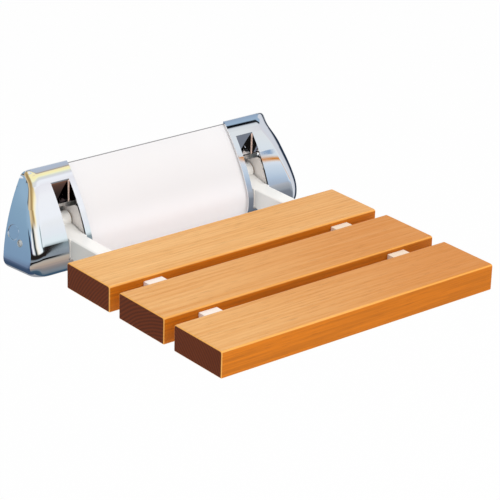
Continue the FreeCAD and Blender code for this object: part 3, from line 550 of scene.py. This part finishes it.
def makeArmWhite():
    # White powder coat with a fine skin, with painted shade on the flanks, deeper on the left arm, and a
    # painted warm bounce of the wood on the teeth between the slats.
    look = Finish("armWhite")
    place = look.place()
    cloud = look.noise(place, 18.0, 3.0)
    x, y, z = look.spot()
    nx = look.facing()[0]
    onRight = look.spread(x, -1 * mm, 1 * mm)
    tint = look.mix(cloud, colour(*armWhite["light"]), colour(*armWhite["dark"]))
    # Painted shade: faces along X are darkened, more so on the left arm
    flankShade = look.mix(onRight, colour(*armWhite["leftFlankShade"]), colour(*armWhite["rightFlankShade"]))
    tint = look.mix(look.spread(nx * nx, 0.6, 0.95), tint, flankShade)
    # Painted light: a warm bounce from the wood on the teeth between the slats
    toothBounce = look.mix(onRight, colour(*armWhite["leftToothBounce"]), colour(*armWhite["rightToothBounce"]))
    between = look.spread(y, -150 * mm, -158 * mm) * look.spread(z, -28 * mm, -25 * mm)
    tint = look.mix(between, tint, toothBounce)
    lift = look.bump(look.noise(place, 900.0), 0.02 * mm, 0.5)
    return look.surface({
        "Base Color": tint, "Roughness": look.spread(cloud, 0.2, 0.8, 0.26, 0.35), "Normal": lift,
        "Coat Weight": 0.25, "Coat Roughness": 0.12})


def makeMetal(name, tone, shade, rough, grain, metallic=1.0):
    # Rolled, turned or plated metal with mottled roughness.
    look = Finish(name)
    place = look.place()
    mottle = look.noise(place, grain / 8, 4.0, 0.65)
    tint = look.mix(mottle, colour(*tone), colour(*shade))
    lift = look.bump(look.noise(place, grain), 0.03 * mm, 0.5)
    roughness = look.spread(mottle, 0.25, 0.75, rough - 0.07, rough + 0.09)
    return look.surface({"Base Color": tint, "Metallic": metallic, "Roughness": roughness, "Normal": lift})


casting = {
    "light": (252, 248, 244),
    "dark": (244, 240, 236),
    # Painted shadow in the gap under the pocket
    "gap": (26, 24, 24),
}


def makeCasting():
    # Light grey casting, with a painted black shadow on its top edge where it sits in the gap under the
    # pocket.
    look = Finish("bracketCasting")
    place = look.place()
    mottle = look.noise(place, 190.0, 4.0, 0.65)
    tint = look.mix(mottle, colour(*casting["light"]), colour(*casting["dark"]))
    # Painted shadow: the top edge is black above this height
    tint = look.mix(look.spread(look.spot()[2], 17.0 * mm, 17.6 * mm), tint, colour(*casting["gap"]))
    lift = look.bump(look.noise(place, 1500.0), 0.03 * mm, 0.5)
    rough = look.spread(mottle, 0.25, 0.75, 0.41, 0.57)
    return look.surface({"Base Color": tint, "Roughness": rough, "Normal": lift})


finishes = {
    "cap_chrome": makeChrome(),
    "cover_white": makeCoverWhite(),
    "arm_white": makeArmWhite(),
    "bracket_casting": makeCasting(),
    "plate_steel": makeMetal("plateSteel", (206, 210, 214), (176, 182, 190), 0.36, 700.0),
    "fastener_steel": makeMetal("fastenerSteel", (236, 236, 230), (222, 222, 218), 0.38, 1200.0, 0.45),
    "friction_washer": makeMetal("frictionWasher", (196, 158, 96), (160, 124, 70), 0.40, 1600.0),
    "bush_plastic": makeMoulded("bushPlastic", (66, 66, 68), (52, 52, 54), 0.46),
    "pad_rubber": makeMoulded("padRubber", (38, 38, 38), (28, 28, 29), 0.72, 1200.0),
}
for name, board in boards.items():
    finishes[name + "Wood"] = makeWood(name + "Wood", board)
print("finishes are made")


# Mesh helpers

sharpAngle = math.radians(35)  # edges sharper than this are eased


def makePiece(bm, name, finish, body, slot, *nodes):
    # A smooth piece that rides on a body and stands for CAD nodes.
    mesh = bpy.data.meshes.new(name)
    bm.to_mesh(mesh)
    bm.free()
    mesh.shade_smooth()
    piece = bpy.data.objects.new(name, mesh)
    scene.collection.objects.link(piece)
    mesh.materials.append(finishes[finish])
    piece.visible_glossy = body != "seat"  # the chrome doesn't mirror the seat
    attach(piece, body)
    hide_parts(*nodes)
    return piece


def addModifier(piece, kind, settings):
    modifier = piece.modifiers.new(kind.lower(), kind)
    for key, value in settings.items():
        setattr(modifier, key, value)


def evenNormals(piece):
    addModifier(piece, "WEIGHTED_NORMAL", {"weight": 60, "keep_sharp": True})


def softenEdges(piece, width, segments=3):
    addModifier(piece, "BEVEL", {
        "width": width, "segments": segments, "limit_method": "ANGLE", "angle_limit": sharpAngle,
        "harden_normals": False})
    evenNormals(piece)


def dressNode(node, finish, body, edge):
    # A smooth copy of a CAD node, with its loose facets merged and its edges eased.
    bm = bmesh.new()
    bm.from_mesh(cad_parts[node].data)
    bmesh.ops.remove_doubles(bm, verts=bm.verts, dist=0.001 * mm)
    words = node.split("_")
    name = words[0] + "".join(word.capitalize() for word in words[1:])
    piece = makePiece(bm, name, finish, body, finish, node)
    softenEdges(piece, edge, 2)
    return piece


def newVertices(made):
    return [item for item in made if isinstance(item, bmesh.types.BMVert)]


# Housing

def frontAt(height, inset=0.0):
    # How far the housing's front stands out at a height.
    noseY, noseZ = housing["noseCentre"]
    nose = housing["noseRadius"] - inset
    if height < noseZ + nose * math.sin(math.radians(housing["lean"])):
        return noseY - math.sqrt(nose ** 2 - (height - noseZ) ** 2)
    frontY, frontZ = housing["frontCentre"]
    return frontY - math.sqrt((housing["frontRadius"] - inset) ** 2 - (height - frontZ) ** 2)


def sideAt(height):
    # The housing's half width at a height, with a rounded corner above and below.
    sideX, sideZ = housing["sideCentre"]
    corners = (
        (housing["topCorner"], housing["top"] - housing["topCorner"], 1),
        (housing["lowCorner"], housing["bottom"] + housing["lowCorner"], -1),
    )
    for radius, centre, sign in corners:
        reach = housing["sideRadius"] - radius
        touch = sideZ + (centre - sideZ) * housing["sideRadius"] / reach
        if sign * (height - touch) > 0:
            cornerX = sideX + math.sqrt(reach ** 2 - (centre - sideZ) ** 2)
            return cornerX + math.sqrt(max(0.0, radius ** 2 - (height - centre) ** 2))
    return sideX + math.sqrt(housing["sideRadius"] ** 2 - (height - sideZ) ** 2)


cap = {
    "seam": 95.2 * mm,
    "wall": 2.2 * mm,
    "rim": 0.7 * mm,
    "rimSteps": 4,
    "frontRound": 10.0 * mm,  # along the front, but at most frontShare of the depth
    "frontShare": 2.2,
    "sideRound": (8.5 * mm, 2.5 * mm),  # along the side, below and at the top
    "sideRoundFrom": (14 * mm, 44 * mm),
    "sideShare": 0.7,
    "taper": (5.0 * mm, 7.6 * mm),  # how far the side comes in to the front, below and at the top
    "taperFrom": (26 * mm, 50 * mm),
    "slotInner": 101.4 * mm,
    "slotOuter": 122.2 * mm,
    "slotBottom": -27.2 * mm,
    "slotCorner": 2.0 * mm,
    "pocketBack": -13.3 * mm,
    "ledgeBack": 18.2 * mm,
    "ledgeFront": 24.0 * mm,
    "plug": (-10.5 * mm, 0.0, 7.65 * mm),  # y, z and radius of the hole
    "plugFlare": 0.25 * mm,
    "plugSink": 0.3 * mm,
    "plugFollow": 0.8,
    "screw": (-21.8 * mm, -7.5 * mm, 3.65 * mm),
    "screwFlare": 0.2 * mm,
    "screwSink": 0.3 * mm,
    "holeStart": 0.1 * mm,  # outside the cap's side
    "holeDepth": 6 * mm,
    "holeSteps": 64,
    "outerFrom": 159 * mm,  # the outer ends of plug and screw lie past this
    "noseTurns": range(-12, 24, 3),  # degrees round the nose, a row of the grid at each
    "frontRows": (-3.0 * mm, 3.4 * mm, 15),  # first height, spacing and number of rows up the front
    "rowGap": 0.15 * mm,
    "frontSteps": 9,
    "cornerSteps": 10,
    "sideSteps": 8,
    "slotColumns": (3, 9),
    "slotSteps": 4,
}


def pocketTop():
    # Where the pocket's back wall runs out into the front surface.
    frontY, frontZ = housing["frontCentre"]
    return frontZ + math.sqrt(housing["frontRadius"] ** 2 - (frontY - cap["pocketBack"]) ** 2)


def mergeLevels(fixed, others, gap):
    # All fixed heights, and the others that keep clear of them and of each other.
    levels = list(fixed)
    for height in others:
        if min(abs(height - level) for level in levels) > gap:
            levels.append(height)
    return sorted(levels)


def capLevels():
    # Heights of the cap's rows, close together where its outline turns.
    topZ = housing["top"] - housing["topCorner"]
    lowZ = housing["bottom"] + housing["lowCorner"]
    noseZ = housing["noseCentre"][1]
    start, spacing, number = cap["frontRows"]
    corner = [math.sin(math.radians(turn)) for turn in range(0, 91, 9)]
    fixed = [housing["bottom"], cap["slotBottom"], cap["slotBottom"] + cap["slotCorner"],
             cap["ledgeFront"], pocketTop(), housing["top"]]
    others = [lowZ - housing["lowCorner"] * share for share in corner]
    others += [topZ + housing["topCorner"] * share for share in corner]
    others += [noseZ + housing["noseRadius"] * math.sin(math.radians(turn)) for turn in cap["noseTurns"]]
    others += [start + step * spacing for step in range(number)]
    others = [height for height in others if not 0 < height - cap["slotBottom"] < cap["slotCorner"]]
    return mergeLevels(fixed, others, cap["rowGap"])


def towardTop(height, heights, sizes):
    # A size that goes smoothly from one value to another between two heights.
    share = min(1.0, max(0.0, (height - heights[0]) / (heights[1] - heights[0])))
    return sizes[0] + (sizes[1] - sizes[0]) * share * share * (3 - 2 * share)


def capLean(height):
    # How far the cap's side comes in from the wall to the front, and the angle of that.
    depth = housing["back"] - frontAt(height)
    most = towardTop(height, cap["taperFrom"], cap["taper"])
    taper = most * math.tanh(depth / most)
    return taper, math.atan2(taper, depth)


def sideFace(y, height):
    # The cap's half width at a place on its side.
    return sideAt(height) - (housing["back"] - y) * math.tan(capLean(height)[1])


def capSection(height):
    # One row of the cap from the seam round the corner to the wall, as (x, y) points.
    front = frontAt(height)
    side = sideAt(height)
    taper, lean = capLean(height)
    depth = housing["back"] - front
    alongFront = min(cap["frontRound"], cap["frontShare"] * depth)
    alongSide = towardTop(height, cap["sideRoundFrom"], cap["sideRound"])
    alongSide = min(alongSide, cap["sideShare"] * depth)
    inner, outer, corner = cap["slotInner"], cap["slotOuter"], cap["slotCorner"]
    middle = (inner + outer) / 2
    points = [cap["seam"], cap["seam"] + 2 * mm, inner - corner, inner, inner + corner]
    points += [middle - 4 * mm, middle, middle + 4 * mm, outer - corner, outer, outer + corner]
    last = side - taper - alongFront
    steps = cap["frontSteps"]
    points += [points[-1] + (last - points[-1]) * step / steps for step in range(1, steps + 1)]
    row = [(x, front) for x in points]
    for step in range(1, cap["cornerSteps"] + 1):
        turn = math.pi / 2 * step / cap["cornerSteps"]
        slid = alongSide * (1 - math.cos(turn))
        x = last + alongFront * math.sin(turn) + slid * math.sin(lean)
        row.append((x, front + slid * math.cos(lean)))
    x, y = row[-1]
    for step in range(1, cap["sideSteps"] + 1):
        share = step / cap["sideSteps"]
        row.append((x + (side - x) * share, y + (housing["back"] - y) * share))
    return row


def capSkin(bm):
    # The cap's outside: a grid laid over the housing's surface.
    levels = capLevels()
    sections = [capSection(height) for height in levels]
    columns, rows = len(sections[0]), len(levels)
    bmesh.ops.create_grid(bm, x_segments=columns - 1, y_segments=rows - 1, size=0.5)
    spots = {}
    for vertex in bm.verts:
        column = round((vertex.co.x + 0.5) * (columns - 1))
        row = round((vertex.co.y + 0.5) * (rows - 1))
        spots[column, row] = vertex
    for (column, row), vertex in spots.items():
        vertex.co = (*sections[row][column], levels[row])
    for row in (0, rows - 1):  # flat top and bottom
        corner = bm.verts.new((cap["seam"], housing["back"], levels[row]))
        bm.faces.new([spots[column, row] for column in range(columns)] + [corner])
    places = {key: vertex.co.copy() for key, vertex in spots.items()}
    return places, levels


def vertexAt(bm, place):
    return min(bm.verts, key=lambda vertex: (vertex.co - place).length_squared)


def mergeClose(bm, distance):
    bmesh.ops.remove_doubles(bm, verts=bm.verts, dist=distance)


def cutSlot(bm, places, levels):
    # Opens the slot, with round lower corners.
    low, high = levels.index(cap["slotBottom"]), levels.index(pocketTop())
    first, last = cap["slotColumns"]
    for column, tip in ((first, 1), (last, -1)):
        centre = places[column + tip, low + 1]
        ends = [vertexAt(bm, places[column + tip, low]), vertexAt(bm, places[column, low + 1])]
        split = bmesh.ops.connect_vert_pair(bm, verts=ends)["edges"]
        made = bmesh.ops.subdivide_edges(bm, edges=split, cuts=cap["slotSteps"])["geom_inner"]
        for vertex in newVertices(made):
            away = Vector((vertex.co.x - centre.x, vertex.co.z - centre.z)).normalized() * cap["slotCorner"]
            height = centre.z + away.y
            vertex.co = (centre.x + away.x, frontAt(height), height)
    corners = [vertexAt(bm, places[column, low]) for column in (first, last)]
    opening = []
    for face in bm.faces:
        middle = face.calc_center_median()
        across = cap["slotInner"] < middle.x < cap["slotOuter"]
        cornered = any(vertex in corners for vertex in face.verts)
        if across and levels[low] < middle.z < levels[high] and not cornered:
            opening.append(face)
    bmesh.ops.delete(bm, geom=opening, context="FACES")


def addPocket(bm, places, levels):
    # Side and back walls of the pocket above the arm, down to its ledge.
    high, ledge = levels.index(pocketTop()), levels.index(cap["ledgeFront"])
    back = cap["pocketBack"]
    first, last = cap["slotColumns"]
    for column in (first, last):
        line = [vertexAt(bm, places[column, row]) for row in range(ledge, high + 1)]
        edges = [bm.edges.get(pair) for pair in zip(line, line[1:])]
        made = newVertices(bmesh.ops.extrude_edge_only(bm, edges=edges)["geom"])
        for vertex in made:
            vertex.co.y = back
        hanging = min(made, key=lambda vertex: vertex.co.z)
        tip = bm.verts.new((hanging.co.x, back, cap["ledgeBack"]))
        bm.faces.new((vertexAt(bm, places[column, ledge]), hanging, tip))
    mergeClose(bm, 0.01 * mm)
    line = [vertexAt(bm, places[column, high]) for column in range(first, last + 1)]
    chain = [bm.edges.get(pair) for pair in zip(line, line[1:])]
    for height in [levels[row] for row in range(high - 1, ledge - 1, -1)] + [cap["ledgeBack"]]:
        made = bmesh.ops.extrude_edge_only(bm, edges=chain)["geom"]
        lowered = newVertices(made)
        for vertex in lowered:
            vertex.co.y, vertex.co.z = back, height
        across = [item for item in made if isinstance(item, bmesh.types.BMEdge)]
        chain = [edge for edge in across if all(vertex in lowered for vertex in edge.verts)]
    mergeClose(bm, 0.01 * mm)


def sideSlopes(y, height):
    # How fast the cap's side goes out along Y and along Z.
    step = 0.5 * mm
    alongY = (sideFace(y + step, height) - sideFace(y - step, height)) / (2 * step)
    alongZ = (sideFace(y, height + step) - sideFace(y, height - step)) / (2 * step)
    return alongY, alongZ


def drill(piece, side, hole):
    # Cuts a round hole along X into the cap, with a flared mouth that follows its side.
    y, z, radius = cap[hole]
    sign = 1 if side == "right" else -1
    place = (sign * (sideFace(y, z) + cap["holeStart"]), y, z)
    mouth = 8 * cap[hole + "Flare"]
    depth = cap["holeDepth"]
    bm = bmesh.new()
    steps = [(-depth, 0.0), (-depth, radius), (0.0, radius), (mouth, radius + mouth), (mouth, 0.0)]
    chain = [bm.verts.new((place[0] + sign * step, place[1] + reach, place[2])) for step, reach in steps]
    for first, second in zip(chain, chain[1:]):
        bm.edges.new((first, second))
    bmesh.ops.spin(bm, geom=bm.verts[:] + bm.edges[:], cent=place, axis=(1, 0, 0),
                   angle=2 * math.pi, steps=cap["holeSteps"], use_merge=True)
    mergeClose(bm, 0.001 * mm)
    bmesh.ops.recalc_face_normals(bm, faces=bm.faces)
    alongY, alongZ = sideSlopes(y, z)
    for vertex in bm.verts:
        vertex.co.x += sign * (alongY * (vertex.co.y - y) + alongZ * (vertex.co.z - z))
    mesh = bpy.data.meshes.new(side + hole + "Drill")
    bm.to_mesh(mesh)
    bm.free()
    cutter = bpy.data.objects.new(side + hole + "Drill", mesh)
    scene.collection.objects.link(cutter)
    addModifier(piece, "BOOLEAN", {"object": cutter, "operation": "DIFFERENCE", "solver": "EXACT"})
    return cutter


def applyModifiers(piece):
    # Turns the cap's modifiers into its mesh, and keeps that off the wall and inside the bottom.
    graph = bpy.context.evaluated_depsgraph_get()
    mesh = bpy.data.meshes.new_from_object(piece.evaluated_get(graph))
    piece.modifiers.clear()
    piece.data = mesh
    for vertex in mesh.vertices:
        vertex.co.y = min(vertex.co.y, housing["back"])
        vertex.co.z = max(vertex.co.z, housing["bottom"])


def makeCap(side):
    bm = bmesh.new()
    places, levels = capSkin(bm)
    cutSlot(bm, places, levels)
    addPocket(bm, places, levels)
    sign = 1 if side == "right" else -1
    bmesh.ops.scale(bm, vec=(sign, 1, 1), verts=bm.verts)
    bmesh.ops.recalc_face_normals(bm, faces=bm.faces)
    foremost = min(bm.faces, key=lambda face: face.calc_center_median().y)
    if foremost.normal.y > 0:
        bmesh.ops.reverse_faces(bm, faces=bm.faces)
    piece = makePiece(bm, side + "EndCap", "cap_chrome", "housing", "cap_chrome", side + "_end_cap")
    addModifier(piece, "SOLIDIFY", {"thickness": cap["wall"], "offset": -1.0, "use_even_offset": True})
    addModifier(piece, "BEVEL", {
        "width": cap["rim"], "segments": cap["rimSteps"], "limit_method": "ANGLE",
        "angle_limit": sharpAngle})
    cutters = [drill(piece, side, hole) for hole in ("plug", "screw")]
    applyModifiers(piece)
    for cutter in cutters:
        bpy.data.objects.remove(cutter)
    evenNormals(piece)


for side in ("left", "right"):
    makeCap(side)
print("end caps are made")


# Centre cover

cover = {"inset": 2.5 * mm, "wall": 2.2 * mm, "half": 97.3 * mm, "edge": 0.4 * mm, "steps": 44}


def coverLine(low, high, inset):
    # The cover's front from one height to another, as (y, z) points.
    heights = [low + (high - low) * step / cover["steps"] for step in range(cover["steps"] + 1)]
    return [(frontAt(height, inset), height) for height in heights]


def makeCover():
    # A bent strip with a solid top edge, run along X.
    back = housing["back"]
    low, high = housing["bottom"] + cover["inset"], housing["top"] - cover["inset"]
    inset = cover["inset"] + cover["wall"]
    frontY, frontZ = housing["frontCentre"]
    rise = math.sqrt((housing["frontRadius"] - inset) ** 2 - (frontY - back) ** 2)
    innerLow, innerHigh = low + cover["wall"], frontZ + rise - cover["wall"]
    outline = [(back, low)] + coverLine(low, high, cover["inset"]) + [(back, high)]
    outline += [(back, innerHigh)] + coverLine(innerLow, innerHigh, inset)[::-1] + [(back, innerLow)]
    bm = bmesh.new()
    section = bm.faces.new([bm.verts.new((-cover["half"], y, z)) for y, z in outline])
    made = newVertices(bmesh.ops.extrude_face_region(bm, geom=[section])["geom"])
    bmesh.ops.translate(bm, verts=made, vec=(2 * cover["half"], 0, 0))
    bmesh.ops.recalc_face_normals(bm, faces=bm.faces)
    piece = makePiece(bm, "centreCover", "cover_white", "housing", "cover_white", "centre_cover")
    softenEdges(piece, cover["edge"])


makeCover()
print("centre cover is made")


# Slats

slat = {
    "half": 160.0 * mm,  # of the length
    "width": 67.0 * mm,
    "top": -1.2 * mm,
    "bottom": -27.2 * mm,
    "start": -95.0 * mm,  # the rear slat's back edge
    "pitch": -81.6 * mm,
    "topRound": 2.6 * mm,
    "lowRound": 1.4 * mm,
    "endRound": 1.4 * mm,
    "tighten": 0.9,  # how much of an end's inset also comes off the outline's rounds
    "roundSteps": 8,
    "endSteps": 5,
}


def slatSection(inset):
    # The slat's rounded outline, drawn in by an inset, as (y, z) points from its middle.
    halfWidth = slat["width"] / 2 - inset
    halfHeight = (slat["top"] - slat["bottom"]) / 2 - inset
    rounds = ((1, 1, "topRound"), (-1, 1, "topRound"), (-1, -1, "lowRound"), (1, -1, "lowRound"))
    points = []
    for corner, (signY, signZ, edge) in enumerate(rounds):
        radius = slat[edge] - inset * slat["tighten"]
        for step in range(slat["roundSteps"] + 1):
            turn = math.radians(90 * corner + 90 * step / slat["roundSteps"])
            points.append((signY * (halfWidth - radius) + radius * math.cos(turn),
                           signZ * (halfHeight - radius) + radius * math.sin(turn)))
    return points


def slatStations():
    # Places along the slat with the inset of its outline at each, for its rounded ends.
    left = []
    for step in range(slat["endSteps"] + 1):
        turn = math.radians(90 * step / slat["endSteps"])
        inset = slat["endRound"] * (1 - math.cos(turn))
        left.append((slat["endRound"] * (1 - math.sin(turn)) - slat["half"], inset))
    left.sort()
    return left + [(-x, inset) for x, inset in left[::-1]]


def makeSlat(name, index):
    middleY = slat["start"] + index * slat["pitch"] - slat["width"] / 2
    middleZ = (slat["top"] + slat["bottom"]) / 2
    bm = bmesh.new()
    rings = []
    for x, inset in slatStations():
        spots = [bm.verts.new((x, middleY + y, middleZ + z)) for y, z in slatSection(inset)]
        rings.append([bm.edges.new(pair) for pair in zip(spots, spots[1:] + spots[:1])])
    for first, second in zip(rings, rings[1:]):
        bmesh.ops.bridge_loops(bm, edges=first + second)
    for ring in (rings[0], rings[-1]):
        bmesh.ops.edgeloop_fill(bm, edges=ring)
    bmesh.ops.recalc_face_normals(bm, faces=bm.faces)
    piece = makePiece(bm, name + "Slat", name + "Wood", "seat", "slat_wood", name + "_slat")
    evenNormals(piece)


for index, name in enumerate(boards):
    makeSlat(name, index)
print("slats are made")


# Other nodes

def moveOuter(piece, shift):
    # Moves a piece's outer end out along X, by what the function gives at each y and z.
    for vertex in piece.data.vertices:
        if abs(vertex.co.x) >= cap["outerFrom"]:
            vertex.co.x += math.copysign(1, vertex.co.x) * shift(vertex.co.y, vertex.co.z)


def fitPlug(piece):
    # Tilts the plug's face nearly along the cap's side, a little sunk at the bottom.
    middleY, middleZ = cap["plug"][:2]
    alongY, alongZ = sideSlopes(middleY, middleZ)
    moveOuter(piece, lambda y, z: (
        alongY * (y - middleY) + cap["plugFollow"] * alongZ * (z - middleZ) - cap["plugSink"]))


def fitScrew(piece):
    # Draws the head in to the leaning side.
    reach = max(abs(vertex.co.x) for vertex in piece.data.vertices)
    sink = reach - sideFace(*cap["screw"][:2]) + cap["screwSink"]
    moveOuter(piece, lambda y, z: -sink)


# Finish, body and eased edge of each small piece that comes in a left and a right one.
paired = {
    "arm": ("arm_white", "seat", 0.7 * mm),
    "arm_bushes": ("bush_plastic", "seat", 0.2 * mm),
    "hinge_bracket": ("bracket_casting", "housing", 0.5 * mm),
    "bracket_rivets": ("fastener_steel", "housing", 0.2 * mm),
    "pivot_pin": ("fastener_steel", "housing", 0.2 * mm),
    "pin_clip": ("fastener_steel", "housing", 0.15 * mm),
    "pivot_washers": ("friction_washer", "housing", 0.08 * mm),
    "stop_pad": ("pad_rubber", "housing", 0.3 * mm),
    "pivot_plug": ("cap_chrome", "housing", 0.3 * mm),
    "end_cap_screw": ("fastener_steel", "housing", 0.25 * mm),
}
fits = {"pivot_plug": fitPlug, "end_cap_screw": fitScrew}

for side in ("left", "right"):
    for node, (finish, body, edge) in paired.items():
        piece = dressNode(side + "_" + node, finish, body, edge)
        if node in fits:
            fits[node](piece)
dressNode("wall_plate", "plate_steel", "housing", 0.3 * mm)
for name in boards:
    dressNode(name + "_slat_screws", "fastener_steel", "seat", 0.2 * mm)
print("smaller pieces are made")
